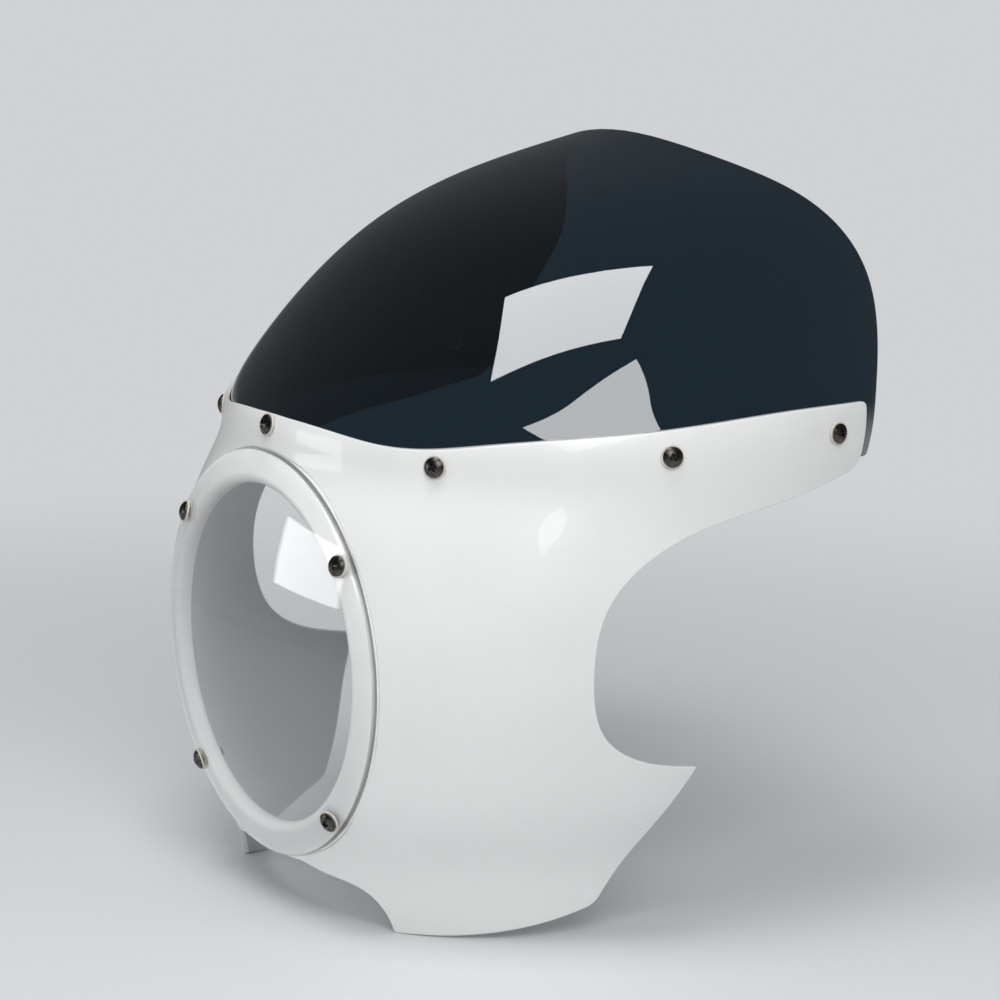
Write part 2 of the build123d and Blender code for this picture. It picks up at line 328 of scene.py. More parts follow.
def sheet(outer, inner, loopOn, sizes):
    # a closed sheet between two skins, with rounded edges and true normals
    points, normals, faces, rims, backs = [], [], [], [], []
    outerLoop, innerLoop = loopOn(outer), loopOn(inner)
    ahead = np.roll(outerLoop, -1, axis=0)
    if np.sum(outerLoop[:, 0] * ahead[:, 1] - ahead[:, 0] * outerLoop[:, 1]) < 0:  # clockwise
        outerLoop, innerLoop = outerLoop[::-1], innerLoop[::-1]
    for side, loop, sign in ((outer, outerLoop, 1), (inner, innerLoop, -1)):
        net, triangles, rim = fillLoop(loop * unrolled, sizes["spacing"])
        position, normal = side.at(net[:, 0] / skin["unroll"], net[:, 1])
        edge, edgeNormal = side.at(loop[:, 0], loop[:, 1])
        tangent = unit(np.roll(edge, -1, axis=0) - np.roll(edge, 1, axis=0))
        outward = unit(np.cross(tangent, edgeNormal))
        soft = tapered(edge, sizes["edgeRound"])
        position[rim] = edge - soft * outward
        start = sum(len(p) for p in points)
        points.append(position)
        normals.append(normal * sign)
        # the inner skin is marked for the darker grey, painted shade
        backs.append(np.full(len(position), 0.0 if sign > 0 else 1.0))
        faces += [[start + i for i in (t if sign > 0 else t[::-1])] for t in triangles]
        rims.append((start + np.array(rim), edge, edgeNormal * sign, outward, soft))
    loops = [rims[0][0]]
    inward = unit(rims[1][1] - rims[0][1])
    turns = softEdge["turns"]
    for sideRim, sideTurns, away in ((rims[0], turns, 1), (rims[1], turns[::-1], -1)):
        edge, normal, outward, soft = sideRim[1:]
        for turn in sideTurns:
            sine, cosine = math.sin(math.radians(turn)), math.cos(math.radians(turn))
            ring = edge - soft * (1 - sine) * outward + away * soft * (1 - cosine) * inward
            loops.append(sum(len(p) for p in points) + np.arange(len(ring)))
            points.append(ring)
            normals.append(unit(sine * outward + cosine * normal))
            backs.append(np.zeros(len(ring)))
    loops.append(rims[1][0])
    for a, b in zip(loops, loops[1:]):
        faces += [(a[i], b[i], b[(i + 1) % len(a)], a[(i + 1) % len(a)]) for i in range(len(a))]
    return np.vstack(points), faces, np.vstack(normals), np.concatenate(backs)


def spun(profile, segments):
    # a profile of radius and depth turned about the lens axis
    turns = np.linspace(0, 2 * np.pi, segments, endpoint=False)
    points = [(r * math.cos(t), y, r * math.sin(t)) for t in turns for r, y in profile]
    rows, faces = len(profile), []
    # a profile that runs from axis to axis needs no closing face
    closing = 1 if profile[0][0] == 0 == profile[-1][0] else 0
    for s in range(segments):
        here, there = s * rows, ((s + 1) % segments) * rows
        for k in range(rows - closing):
            after = (k + 1) % rows
            faces.append((here + k, here + after, there + after, there + k))
    return np.array(points), faces


# shader groups and finishes

def addNode(tree, kind, place=(0, 0), **settings):
    node = tree.nodes.new(kind)
    node.location = place
    for name, value in settings.items():
        setattr(node, name, value)
    return node


def setSockets(node, values):
    for socket, value in values.items():
        node.inputs[socket].default_value = value


handlingMarks = {
    "inputs": {"Scale": 40.0, "Gloss Base": 0.1, "Gloss Spread": 0.05, "Ripple Scale": 200.0},
    "patches": {"Detail": 6, "Roughness": 0.62}, "ripple": {"Detail": 2},
    "contrast": {"From Min": 0.35, "From Max": 0.7},
}


def markGroup():
    # fine unevenness that every finish has in its own measure
    group = bpy.data.node_groups.new("handlingMarks", "ShaderNodeTree")
    socket = group.interface.new_socket
    for name, value in handlingMarks["inputs"].items():
        socket(name, in_out="INPUT", socket_type="NodeSocketFloat").default_value = value
    for name in ("Roughness", "Height", "Mask"):
        socket(name, in_out="OUTPUT", socket_type="NodeSocketFloat")
    start = addNode(group, "NodeGroupInput", (-800, 0))
    end = addNode(group, "NodeGroupOutput", (500, 0))
    where = addNode(group, "ShaderNodeTexCoord", (-800, -250))
    patches = addNode(group, "ShaderNodeTexNoise", (-500, 150))
    setSockets(patches, handlingMarks["patches"])
    ripple = addNode(group, "ShaderNodeTexNoise", (-500, -200))
    setSockets(ripple, handlingMarks["ripple"])
    contrast = addNode(group, "ShaderNodeMapRange", (-250, 150))
    setSockets(contrast, handlingMarks["contrast"])
    rough = addNode(group, "ShaderNodeMath", (100, 150), operation="MULTIPLY_ADD")
    link = group.links.new
    link(where.outputs["Object"], patches.inputs["Vector"])
    link(where.outputs["Object"], ripple.inputs["Vector"])
    link(start.outputs["Scale"], patches.inputs["Scale"])
    link(start.outputs["Ripple Scale"], ripple.inputs["Scale"])
    link(patches.outputs["Fac"], contrast.inputs["Value"])
    link(contrast.outputs["Result"], rough.inputs[0])
    link(start.outputs["Gloss Spread"], rough.inputs[1])
    link(start.outputs["Gloss Base"], rough.inputs[2])
    link(rough.outputs["Value"], end.inputs["Roughness"])
    link(ripple.outputs["Fac"], end.inputs["Height"])
    link(contrast.outputs["Result"], end.inputs["Mask"])
    return group


marks = markGroup()


def newFinish(name, sockets):
    material = bpy.data.materials.new(name)
    material.use_nodes = True
    shader = material.node_tree.nodes["Principled BSDF"]
    setSockets(shader, sockets)
    return material, material.node_tree, shader


def finishBase(name, look):
    material, tree, shader = newFinish(name, look["sockets"])
    group = addNode(tree, "ShaderNodeGroup", (-700, 0), node_tree=marks)
    setSockets(group, look["marks"])
    bump = addNode(tree, "ShaderNodeBump", (-300, -300))
    setSockets(bump, {"Strength": look["bump"], "Distance": look["bumpDepth"]})
    tree.links.new(group.outputs["Roughness"], shader.inputs["Roughness"])
    tree.links.new(group.outputs["Height"], bump.inputs["Height"])
    tree.links.new(bump.outputs["Normal"], shader.inputs["Normal"])
    return material, tree, shader, group


def tinted(tree, shader, mask, low, high):
    mix = addNode(tree, "ShaderNodeMix", (-350, 250), data_type="RGBA")
    setSockets(mix, {"A": low, "B": high})
    tree.links.new(mask, mix.inputs["Factor"])
    tree.links.new(mix.outputs["Result"], shader.inputs["Base Color"])


def tintedFinish(name, look):
    material, tree, shader, group = finishBase(name, look)
    tinted(tree, shader, group.outputs["Mask"], look["low"], look["high"])
    return material, tree, shader, group


def duller(tree, shader, group, mask, amount, place):
    # rougher where the mask is
    dull = addNode(tree, "ShaderNodeMath", place, operation="MULTIPLY_ADD")
    dull.inputs[1].default_value = amount
    tree.links.new(mask, dull.inputs[0])
    tree.links.new(group.outputs["Roughness"], dull.inputs[2])
    tree.links.new(dull.outputs["Value"], shader.inputs["Roughness"])


shellLook = {
    "sockets": {"IOR": 1.46, "Coat Weight": 0.4, "Coat Roughness": 0.015},
    "marks": {"Scale": 9.0, "Gloss Base": 0.3, "Gloss Spread": 0.08, "Ripple Scale": 160.0},
    "bump": 0.05, "bumpDepth": 0.0004,
    "low": (0.80, 0.805, 0.79, 1), "high": (0.84, 0.842, 0.83, 1),
    "inside": (0.50, 0.51, 0.52, 1), "insideDull": 0.3,  # the darker grey on the back faces is painted shade inside the moulding
}
whiteGloss, tree, shader, group = tintedFinish("whiteGloss", shellLook)
# where backFace is set, the base colour turns to the darker inside grey: painted shade
backSide = addNode(tree, "ShaderNodeAttribute", (-700, 500), attribute_name="backFace")
paint = shader.inputs["Base Color"].links[0].from_socket
paintedBackShade = addNode(tree, "ShaderNodeMix", (-150, 300), data_type="RGBA")
paintedBackShade.inputs["B"].default_value = shellLook["inside"]
tree.links.new(backSide.outputs["Fac"], paintedBackShade.inputs["Factor"])
tree.links.new(paint, paintedBackShade.inputs["A"])
tree.links.new(paintedBackShade.outputs["Result"], shader.inputs["Base Color"])
duller(tree, shader, group, backSide.outputs["Fac"], shellLook["insideDull"], (-150, 50))

screenLook = {
    "sockets": {"Base Color": (0.010, 0.026, 0.040, 1), "Transmission Weight": 1.0, "IOR": 1.49,
                "Coat Weight": 1.0, "Coat Roughness": 0.01, "Coat IOR": 1.7},  # hard coat
    "marks": {"Scale": 14.0, "Gloss Base": 0.0, "Gloss Spread": 0.025, "Ripple Scale": 30.0},
    "bump": 0.02, "bumpDepth": 0.0003,
}
smokedAcrylic = finishBase("smokedAcrylic", screenLook)[0]

lensLook = {
    "sockets": {"Transmission Weight": 1.0, "IOR": 1.49},
    "marks": {"Scale": 18.0, "Gloss Base": 0.0, "Gloss Spread": 0.03, "Ripple Scale": 25.0},
    "bump": 0.02, "bumpDepth": 0.0003,
    "clear": (0.985, 0.99, 0.99, 1), "edge": (0.93, 0.96, 0.95, 1),
    "edgeFrom": 0.1070, "edgeTo": 0.1075, "edgeFrost": 0.9,  # the turned edge is left dull
    "shadow": 0.25,  # clear sheet hardly shades its seat
}
clearAcrylic, tree, shader, group = finishBase("clearAcrylic", lensLook)
where = addNode(tree, "ShaderNodeTexCoord", (-1300, 400))
flatten = addNode(tree, "ShaderNodeVectorMath", (-1100, 400), operation="MULTIPLY")
flatten.inputs[1].default_value = (1, 0, 1)
reach = addNode(tree, "ShaderNodeVectorMath", (-900, 400), operation="LENGTH")
edgeMask = addNode(tree, "ShaderNodeMapRange", (-700, 400))
setSockets(edgeMask, {"From Min": lensLook["edgeFrom"], "From Max": lensLook["edgeTo"]})
tree.links.new(where.outputs["Object"], flatten.inputs[0])
tree.links.new(flatten.outputs["Vector"], reach.inputs[0])
tree.links.new(reach.outputs["Value"], edgeMask.inputs["Value"])
tinted(tree, shader, edgeMask.outputs["Result"], lensLook["clear"], lensLook["edge"])
duller(tree, shader, group, edgeMask.outputs["Result"], lensLook["edgeFrost"], (-350, 0))
path = addNode(tree, "ShaderNodeLightPath", (-700, -500))
passing = addNode(tree, "ShaderNodeMapRange", (-350, -500))
setSockets(passing, {"To Min": 1.0, "To Max": lensLook["shadow"]})
tree.links.new(path.outputs["Is Shadow Ray"], passing.inputs["Value"])
tree.links.new(passing.outputs["Result"], shader.inputs["Alpha"])

screwLook = {
    "sockets": {"Metallic": 1.0},
    "marks": {"Scale": 420.0, "Gloss Base": 0.22, "Gloss Spread": 0.2, "Ripple Scale": 1500.0},
    "bump": 0.15, "bumpDepth": 0.0001,
    "low": (0.05, 0.047, 0.042, 1), "high": (0.14, 0.133, 0.12, 1),
}
blackNickel = tintedFinish("blackNickel", screwLook)[0]

washerLook = {
    "sockets": {"IOR": 1.53, "Subsurface Weight": 0.15, "Subsurface Scale": 0.002},
    "marks": {"Scale": 300.0, "Gloss Base": 0.35, "Gloss Spread": 0.15, "Ripple Scale": 900.0},
    "bump": 0.1, "bumpDepth": 0.0001,
    "low": (0.62, 0.58, 0.50, 1), "high": (0.74, 0.71, 0.64, 1),
}
palePolymer = tintedFinish("palePolymer", washerLook)[0]

hardwareLook = {
    "sockets": {"Metallic": 1.0},
    "marks": {"Scale": 350.0, "Gloss Base": 0.28, "Gloss Spread": 0.2, "Ripple Scale": 1200.0},
    "bump": 0.12, "bumpDepth": 0.0001,
    "low": (0.52, 0.51, 0.48, 1), "high": (0.66, 0.655, 0.63, 1),
}
zincPlate = tintedFinish("zincPlate", hardwareLook)[0]
print("finishes made:", len(bpy.data.materials))


# moulded shell

shell = {
    "wall": 3.0, "spacing": 3.6, "edgeRound": 0.8,
    # depth and height, as in a side view
    "rim": [(-12, 131), (6, 126.7), (20, 121.3), (50, 123.4),
            (120, 130.8), (200, 136.3), (256, 135.2)],
    "armFoot": (252.5, 101), "armTopRound": 4.0, "armFootRound": 9.0,
    "cutout": [(193, 90), (133, 76), (95, 44.5), (88.2, 9.5),
               (97, -21.5), (121, -37.5), (154, -45)],
    "wingFoot": (113.5, -120), "wingFootRound": 4.0,
    "bottomMiddle": (74, -131.8), "legFoot": (29, -137),
    # distance from the centre line and height, as in a front view
    "arch": [(80, -139), (76.5, -127), (68, -116.6), (48, -110.8), (30, -106.5)],
    "archStep": 1.5,
    "footClear": 0.004, "holeClear": 0.3,  # kept free of points where two stretches meet
    "loopPoints": (330, 100, 50, 150),  # rim with cut-out, wing, arch, lens hole
    "sharp": 50,
}


def archCurve():
    # half of the arch, from the leg's foot to the centre line
    top, step = shell["arch"][-1], shell["archStep"]
    line = smoothLine(shell["arch"], step)
    line = line[line[:, 1] > shell["legFoot"][1]]
    return np.vstack([line, straightLine(top, (0, top[1]), step)[1:]])


def shellLoop(side):
    holeRadius = lens["radius"] + lens["edgeGap"]
    arm = straightLine(shell["rim"][-1], shell["armFoot"])
    cutout = smoothLine([shell["armFoot"]] + shell["cutout"])
    line = joinRounded(smoothLine(shell["rim"]), arm, shell["armTopRound"])
    upper = side.fromCentre(joinRounded(line, cutout, shell["armFootRound"]))
    wing = straightLine(shell["cutout"][-1], shell["wingFoot"])
    bottom = arcThrough(shell["wingFoot"], shell["bottomMiddle"], shell["legFoot"])
    wing = side.fromSide(joinRounded(wing, bottom, shell["wingFootRound"]))
    meet = math.asin(shell["arch"][-1][1] / holeRadius)
    turns = np.linspace(meet, math.pi / 2, shell["loopPoints"][-1])
    hole = holeRadius * np.stack([np.cos(turns), np.sin(turns)], axis=1)
    hole[-1, 0] = 0
    arch = archCurve()
    arch = arch[np.hypot(*arch.T) > holeRadius + shell["holeClear"]]
    arch = side.fromFront(np.vstack([arch, hole[0]]))
    # the foot ends where the arch starts
    wing = np.vstack([wing[wing[:, 0] > arch[0, 0] + shell["footClear"]], arch[0]])
    return closedLoop([upper, wing, arch, side.fromFront(hole)], shell["loopPoints"])


lampSeat = {
    "opening": 89.0, "lipLength": 4.5, "lipRound": 4.5, "lipChamfer": 0.6,
    "reach": 3.0, "flangeDepth": 7.2,  # behind the shell's sheet
    "faceClear": (0.5, 0.1),  # from the roll and from the hole's edge
    "rollPoints": 13, "facePoints": 16, "backPoints": 14, "segments": 192,
}


def seatRing():
    # domed seat under the lens, with the rolled lip of the lamp opening
    roll, inner, length = lampSeat["lipRound"], lampSeat["opening"], lampSeat["lipLength"]
    seatBall = lens["dome"] - seatInset
    middle = inner + roll, float(domeDepth(inner + roll, seatInset + roll))
    towards = math.atan2(middle[1] - domeCentre, middle[0])  # where the roll runs into the seat
    rolled = [(middle[0] + roll * math.cos(a), middle[1] + roll * math.sin(a))
              for a in np.linspace(-math.pi, towards, lampSeat["rollPoints"])]
    faceStart = seatBall * math.cos(towards) + lampSeat["faceClear"][0]
    faceEnd = lens["radius"] + lens["edgeGap"] - lampSeat["faceClear"][1]
    radii = np.linspace(faceStart, faceEnd, lampSeat["facePoints"])
    face = [(r, float(domeDepth(r, seatInset))) for r in radii]
    outer, neck = lens["radius"] + lampSeat["reach"], inner + shell["wall"]
    flange = [(radii[-1], lampSeat["flangeDepth"]), (outer, lampSeat["flangeDepth"])]
    backRadii = np.linspace(outer, neck, lampSeat["backPoints"])
    back = [(r, float(domeDepth(r, seatInset + shell["wall"]))) for r in backRadii]
    cut = lampSeat["lipChamfer"]
    neckEnd = [(neck, length - cut), (neck - cut, length)]
    boreEnd = [(inner + cut, length), (inner, length - cut)]
    stretches = ((rolled + face + flange, 0.0), (back + neckEnd, 1.0), (boreEnd, 0.0))
    profile = [point for stretch, _ in stretches for point in stretch]
    paintedBackShade = [value for stretch, value in stretches for _ in stretch]  # the back of the ring gets the darker painted shade
    points, faces = spun(profile, lampSeat["segments"])
    points[:, 2] = np.maximum(points[:, 2], shell["arch"][-1][1])
    return points, faces, None, np.tile(paintedBackShade, lampSeat["segments"])


archFold = {
    "start": 2.6, "depth": 16.0, "wall": 2.6, "seatClear": 1.0,
    # into the wall, ahead of the rear edge
    "nearEdge": [(0.05, 0.7), (0.3, 0.2), (0.8, 0.0)],
    "farEdge": [(0.8, 0.0), (0.3, 0.2), (0.0, 0.7)],
}


def archLip(outer):
    # folded edge behind the arch, all in the back's darker painted shade
    half = archCurve()
    line = np.vstack([half, half[::-1][1:] * [-1, 1]])
    away = -unit(np.stack([-np.gradient(line[:, 1]), np.gradient(line[:, 0])], axis=1))
    flat = outer.fromFront(line)
    skinDepth = outer.at(flat[:, 0], flat[:, 1])[0][:, 1]
    reach = np.hypot(*line.T)
    seatBack = domeDepth(np.minimum(reach, lens["radius"]), seatInset) + archFold["seatClear"]
    front = skinDepth + archFold["start"]
    underSeat = reach < lens["radius"] + lampSeat["reach"]
    first = np.where(underSeat, np.maximum(seatBack, front), front)
    last = skinDepth + archFold["depth"]
    near, far, wall = archFold["nearEdge"], archFold["farEdge"], archFold["wall"]
    points, faces = [], []
    for place, outwards, begin, end in zip(line, away, first, last):
        ring = [(near[0][0], begin)] + [(shift, end - ahead) for shift, ahead in near]
        ring += [(wall - shift, end - ahead) for shift, ahead in far] + [(wall, begin)]
        for shift, depth in ring:
            x, z = place + outwards * shift
            points.append((x, depth, max(z, shell["legFoot"][1])))
    rows = len(ring)
    for i in range(len(line) - 1):
        for k in range(rows):
            a, b = i * rows + k, i * rows + (k + 1) % rows
            faces.append((a, a + rows, b + rows, b))
    faces += [tuple(range(rows)), tuple(range(len(points) - 1, len(points) - rows - 1, -1))]
    return np.array(points), faces, None, np.ones(len(points))


outerSkin, shellBack = Skin(), Skin(shell["wall"])
cowl = meshPiece("cowlMoulding", *sheet(outerSkin, shellBack, shellLoop, shell))
extras = [meshPiece("seatRing", *seatRing()), meshPiece("archLip", *archLip(outerSkin))]
for extra in extras:
    outwardNormals(extra)
    sharpen(extra, shell["sharp"])
bpy.ops.object.select_all(action="DESELECT")
for part in extras + [cowl]:
    part.select_set(True)
bpy.context.view_layer.objects.active = cowl
bpy.ops.object.join()
placed(cowl, "shell", whiteGloss, "cowl_shell")
print("shell:", len(cowl.data.polygons), "faces")


# bubble windscreen

screen = {
    "wall": 3.0, "gap": 0.3, "spacing": 3.4, "edgeRound": 0.7, "footRound": 2.0,
    # depth and height, as in a side view
    "freeEdge": [(226.5, 272), (227.8, 263), (233.7, 256.3), (254.8, 241.4), (272.8, 222.7),
                 (283.2, 195), (279.8, 167.7), (269.4, 139.4), (263.2, 104.5)],
    "hiddenEdge": [(200, 106.5), (110, 104), (45, 102.5), (24, 106), (9, 115), (-12, 118)],
    "freeStep": 1.0, "loopPoints": (300, 300),
}


def screenLoop(side):
    free = smoothLine(screen["freeEdge"], screen["freeStep"])
    hidden = smoothLine([screen["freeEdge"][-1]] + screen["hiddenEdge"])
    line = joinRounded(free, hidden, screen["footRound"])
    behind = line[:, 0] > side.front(line[:, 1])[0]
    first, last = np.flatnonzero(behind)[[0, -1]]
    half = (first + last) // 2
    top = side.fromCentre(line[first - 1:half])
    low = side.fromCentre(line[::-1][len(line) - last - 2:len(line) - half])[::-1]
    return closedLoop([top, low], screen["loopPoints"])


screenFront = Skin(shell["wall"] + screen["gap"])
screenBack = Skin(shell["wall"] + screen["gap"] + screen["wall"])
bubble = meshPiece("smokedBubble", *sheet(screenFront, screenBack, screenLoop, screen))
placed(bubble, "screen", smokedAcrylic, "windscreen")
print("windscreen:", len(bubble.data.polygons), "faces")


# domed lens cover, grown by geometry nodes

lensCover = {"Radius": lens["radius"] * mm, "Dome Radius": lens["dome"] * mm,
             "Wall": lens["wall"] * mm, "Edge Round": 0.7 * mm, "Edge Share": 0.03,
             "Rings": 131, "Segments": 193}
lensMesh = {"weld": 0.01 * mm, "sharp": 40}


def newTree(name, inputs, startAt, endAt):
    # a geometry tree with its named inputs
    tree = bpy.data.node_groups.new(name, "GeometryNodeTree")
    socket = tree.interface.new_socket
    socket("Geometry", in_out="OUTPUT", socket_type="NodeSocketGeometry")
    for label, kind in [("Geometry", "Geometry")] + inputs + [("Finish", "Material")]:
        socket(label, in_out="INPUT", socket_type="NodeSocket" + kind)
    start = addNode(tree, "NodeGroupInput", startAt)
    return tree, start, addNode(tree, "NodeGroupOutput", endAt)


def linkInTurn(tree, *nodes):
    # each node hands its geometry to the next
    for node, following in zip(nodes, nodes[1:]):
        tree.links.new(node.outputs[0], following.inputs["Geometry"])


def domeTree():
    whole = ("Rings", "Segments")
    inputs = [(name, "Int" if name in whole else "Float") for name in lensCover]
    tree, start, end = newTree("domedDisc", inputs, (-1600, 0), (900, 0))
    link = tree.links.new

    def calc(operation, *values):
        node = addNode(tree, "ShaderNodeMath", operation=operation)
        for socket, value in zip(node.inputs, values):
            if isinstance(value, (int, float)):
                socket.default_value = value
            else:
                link(value, socket)
        return node.outputs[0]

    def legOf(longSide, shortSide):
        # the other short side of a right triangle
        squares = calc("POWER", longSide, 2.0), calc("POWER", shortSide, 2.0)
        return calc("SQRT", calc("SUBTRACT", *squares))

    grid = addNode(tree, "GeometryNodeMeshGrid", (-1300, 300))
    setSockets(grid, {"Size X": 1.0, "Size Y": 1.0})
    link(start.outputs["Segments"], grid.inputs["Vertices X"])
    link(start.outputs["Rings"], grid.inputs["Vertices Y"])
    spot = addNode(tree, "GeometryNodeInputPosition", (-1300, -200))
    split = addNode(tree, "ShaderNodeSeparateXYZ", (-1100, -200))
    link(spot.outputs[0], split.inputs[0])
    turn = calc("MULTIPLY", split.outputs["X"], 2 * math.pi)
    # across the grid: pole, front face, edge, back face, pole
    share, edgeRound = start.outputs["Edge Share"], start.outputs["Edge Round"]
    away = calc("ABSOLUTE", split.outputs["Y"])
    run = calc("DIVIDE", calc("SUBTRACT", 0.5, away), calc("SUBTRACT", 0.5, share))
    flatReach = calc("SUBTRACT", start.outputs["Radius"], edgeRound)
    across = calc("MINIMUM", calc("DIVIDE", away, share), 1.0)
    bulge = calc("SQRT", calc("SUBTRACT", 1.0, calc("POWER", across, 4.0)))
    facePart = calc("MULTIPLY", calc("MINIMUM", run, 1.0), flatReach)
    radius = calc("ADD", facePart, calc("MULTIPLY", bulge, edgeRound))
    inset = addNode(tree, "ShaderNodeMapRange", (-700, -400))
    link(split.outputs["Y"], inset.inputs["Value"])
    link(calc("MULTIPLY", share, -1.0), inset.inputs["From Min"])
    link(share, inset.inputs["From Max"])
    link(start.outputs["Wall"], inset.inputs["To Max"])
    dome = start.outputs["Dome Radius"]
    centre = legOf(dome, start.outputs["Radius"])
    rise = legOf(calc("SUBTRACT", dome, inset.outputs["Result"]), radius)
    place = addNode(tree, "ShaderNodeCombineXYZ", (100, -200))
    link(calc("MULTIPLY", radius, calc("COSINE", turn)), place.inputs["X"])
    link(calc("SUBTRACT", centre, rise), place.inputs["Y"])
    link(calc("MULTIPLY", radius, calc("SINE", turn)), place.inputs["Z"])
    move = addNode(tree, "GeometryNodeSetPosition", (300, 100))
    weld = addNode(tree, "GeometryNodeMergeByDistance", (450, 100))
    weld.inputs["Distance"].default_value = lensMesh["weld"]
    smooth = addNode(tree, "GeometryNodeSetShadeSmooth", (600, 100))
    real = addNode(tree, "GeometryNodeRealizeInstances", (700, 100))
    paint = addNode(tree, "GeometryNodeSetMaterial", (800, 100))
    link(place.outputs[0], move.inputs["Position"])
    link(start.outputs["Finish"], paint.inputs["Material"])
    linkInTurn(tree, grid, move, weld, smooth, real, paint, end)
    return tree


def grown(name, holder, tree, values):
    # runs a tree on a holder object and keeps the result as a plain mesh
    modifier = holder.modifiers.new(tree.name, "NODES")
    modifier.node_group = tree
    for item in tree.interface.items_tree:
        if item.in_out == "INPUT" and item.name in values:
            modifier[item.identifier] = values[item.name]
    bpy.context.view_layer.update()
    graph = bpy.context.evaluated_depsgraph_get()
    mesh = bpy.data.meshes.new_from_object(
        holder.evaluated_get(graph), preserve_all_data_layers=True, depsgraph=graph)
    mesh.name = name
    holder.modifiers.remove(modifier)
    bpy.data.objects.remove(holder)
    return linked(name, mesh)


lensHolder = meshPiece("lensHolder", np.zeros((1, 3)), [])
dome = grown("domedLens", lensHolder, domeTree(), {**lensCover, "Finish": clearAcrylic})
outwardNormals(dome)
sharpen(dome, lensMesh["sharp"])
placed(dome, "lens", clearAcrylic, "lens_cover")
print("lens cover:", len(dome.data.polygons), "faces")


# fasteners, set on their seats by geometry nodes

fastener = {
    "screwRadius": 2.5, "endLength": 1.5, "tipSoft": 0.6,
    "headRadius": 5.2, "headHeight": 3.0, "headEdge": 0.9, "headSoft": 0.25, "crownPoints": 9,
    "recessWidth": 1.3, "recessLength": 5.6, "recessDepth": 1.4,
    "recessFoot": (0.55, 0.72), "recessOver": 0.5,  # share of length and width, and cut above
    "washerRadius": 6.1, "backingRadius": 5.0, "washer": 1.0, "washerSoft": 0.2, "hole": 2.75,
    "seatGap": 0.2, "backingGap": 0.5,
    "nutWidth": 8.0, "nutHeight": 4.0, "nutSoft": 0.35, "boreGap": 0.05, "boreOver": (2.0, 4.0),
    "segments": 40, "weld": 0.02 * mm, "sharp": 35, "nutSharp": 30,
    "screenLine": 195.0, "aimSteps": 12,
    "screenSeats": [(121, 0), (112.6, 34.5), (119, 70.5), (122, 101)],  # height, angle from front
    "lensCircle": 101.4, "lensAngles": (37.5, 142.5, 227, -47),
    "twists": [0.3, 1.1, 0.7, 0.15, 0.9, 0.45, 1.3],  # how far each screw was turned home
}


def screenSeats():
    seats, mirror = [], np.array([-1, 1, 1])
    for height, angle in fastener["screenSeats"]:
        wanted, turn, level = math.radians(angle), math.radians(angle), np.array(float(height))
        for _ in range(fastener["aimSteps"]):
            point = outerSkin.at(np.array(turn), level)[0]
            turn += wanted - math.atan2(point[0], fastener["screenLine"] - point[1])
        point, normal = outerSkin.at(np.array(turn), level)
        seats.append((point, normal))
        if angle:
            seats.append((point * mirror, normal * mirror))
    return seats


def lensSeats():
    seats, radius = [], fastener["lensCircle"]
    for angle in fastener["lensAngles"]:
        turn = math.radians(angle)
        point = np.array([radius * math.cos(turn), float(domeDepth(radius, 0)),
                          radius * math.sin(turn)])
        seats.append((point, unit(point - [0, domeCentre, 0])))
    return seats


def turned(name, profile):
    # a small turned part about its own Z axis
    points, faces = spun(profile, fastener["segments"])
    part = meshPiece(name, points[:, [0, 2, 1]], faces)
    outwardNormals(part, fastener["weld"])
    return part


def cutBy(part, cutter):
    modifier = part.modifiers.new("cut", "BOOLEAN")
    modifier.object, modifier.operation, modifier.solver = cutter, "DIFFERENCE", "EXACT"
    graph = bpy.context.evaluated_depsgraph_get()
    mesh = bpy.data.meshes.new_from_object(part.evaluated_get(graph))
    part.modifiers.remove(modifier)
    part.data = mesh
    bpy.data.objects.remove(cutter)


def fromNet(name, net, place):
    # a small part from its net, scaled from millimetres
    mesh = bpy.data.meshes.new(name)
    net.to_mesh(mesh)
    net.free()
    mesh.transform(Matrix.Scale(mm, 4) @ place)
    return linked(name, mesh)


def recessBar(top, turn):
    # one of the two bars of a cross recess, narrower at its foot
    net = bmesh.new()
    footLength, footWidth = fastener["recessFoot"]
    for v in bmesh.ops.create_cube(net, size=1.0)["verts"]:
        low = v.co.z < 0
        v.co.x *= fastener["recessLength"] * (footLength if low else 1.0)
        v.co.y *= fastener["recessWidth"] * (footWidth if low else 1.0)
        v.co.z = top + (-fastener["recessDepth"] if low else fastener["recessOver"])
    spin = Matrix.Rotation(math.radians(turn), 3, "Z")
    bmesh.ops.rotate(net, verts=net.verts, cent=(0, 0, 0), matrix=spin)
    return fromNet("recessBar", net, Matrix())


def makeScrew(stack):
    seat = fastener["seatGap"] + fastener["washer"]
    top, edge = seat + fastener["headHeight"], seat + fastener["headEdge"]
    tip = -(stack + fastener["backingGap"] + fastener["washer"] + fastener["nutHeight"]
            + fastener["endLength"])
    head, headSoft = fastener["headRadius"], fastener["headSoft"]
    shank, tipSoft = fastener["screwRadius"], fastener["tipSoft"]
    cap = ((top - edge)**2 + head**2) / (2 * (top - edge))
    radii = [head * share for share in np.linspace(0, 1, fastener["crownPoints"])]
    crown = [(r, top - cap + math.sqrt(cap**2 - r**2)) for r in radii]
    screw = turned("panHeadScrew", crown + [
        (head, seat + headSoft), (head - headSoft, seat), (shank, seat),
        (shank, tip + tipSoft), (shank - tipSoft, tip), (0.0, tip)])
    cutBy(screw, recessBar(top, 0))
    cutBy(screw, recessBar(top, 90))
    outwardNormals(screw)
    screw.data.polygons.foreach_set("use_smooth", [True] * len(screw.data.polygons))
    sharpen(screw, fastener["sharp"])
    return screw


def makeWasher(radius, bottom):
    top, hole, soft = bottom + fastener["washer"], fastener["hole"], fastener["washerSoft"]
    washer = turned("flatWasher", [
        (hole, bottom), (radius - soft, bottom), (radius, bottom + soft),
        (radius, top - soft), (radius - soft, top), (hole, top)])
    sharpen(washer, fastener["sharp"])
    return washer


